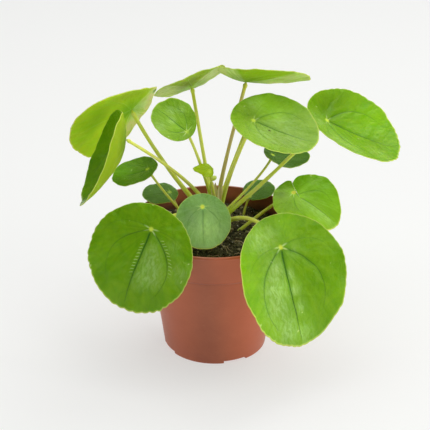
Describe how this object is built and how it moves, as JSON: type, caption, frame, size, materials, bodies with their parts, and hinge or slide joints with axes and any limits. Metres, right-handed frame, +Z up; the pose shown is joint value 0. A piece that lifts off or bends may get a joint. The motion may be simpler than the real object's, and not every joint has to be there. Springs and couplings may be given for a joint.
{
  "type": "potted pilea plant",
  "caption": "Round-leaved pilea houseplant in a tapered plastic nursery pot filled with dark potting soil.",
  "frame": {"origin": "centre of the pot's foot, on the surface that it stands on", "axes": "+Z up; +Y away from the viewer, so the two large hanging leaves are on the -Y side; +X to the viewer's right, along the plant's widest spread"},
  "size_m": [0.2401, 0.1709, 0.2194],
  "materials": {
    "pot_plastic": "satin moulded plastic, terracotta brown",
    "potting_soil": "rough dark peat with pale specks",
    "stem_bark": "dull green-brown bark",
    "dry_sheath": "dry papery brown",
    "stalk_green": "satin yellow-green",
    "stalk_brown": "satin olive-brown, yellow near the blade",
    "leaf_bright": "glossy leathery bright green",
    "leaf_fresh": "glossy leathery yellow-green",
    "leaf_cool": "satin bluish green",
    "leaf_dark": "satin dark green"
  },
  "bodies": {
    "root": {"pot": "pot_plastic", "soil": "potting_soil", "main_stem": "stem_bark", "stipules": "dry_sheath", "stalk_high_left": "stalk_green", "blade_high_left": "leaf_bright", "stalk_folded_left": "stalk_green", "blade_folded_left": "leaf_bright", "stalk_cupped_centre": "stalk_green", "blade_cupped_centre": "leaf_fresh", "stalk_top_left": "stalk_green", "blade_top_left": "leaf_bright", "stalk_top_right": "stalk_brown", "blade_top_right": "leaf_bright", "stalk_centre_right": "stalk_green", "blade_centre_right": "leaf_fresh", "stalk_far_right": "stalk_green", "blade_far_right": "leaf_bright", "stalk_shaded_right": "stalk_green", "blade_shaded_right": "leaf_dark", "stalk_seedling_back": "stalk_green", "blade_seedling_back": "leaf_dark", "stalk_bud": "stalk_green", "blade_bud": "leaf_fresh", "stalk_front_left": "stalk_green", "blade_front_left": "leaf_bright", "stalk_front_right": "stalk_green", "blade_front_right": "leaf_bright", "stalk_front_centre": "stalk_green", "blade_front_centre": "leaf_cool", "stalk_low_right": "stalk_green", "blade_low_right": "leaf_cool", "stalk_low_left": "stalk_green", "blade_low_left": "leaf_dark", "stalk_seedling_left": "stalk_green", "blade_seedling_left": "leaf_dark", "stalk_shaded_centre": "stalk_green", "blade_shaded_centre": "leaf_dark"}
  },
  "joints": []
}
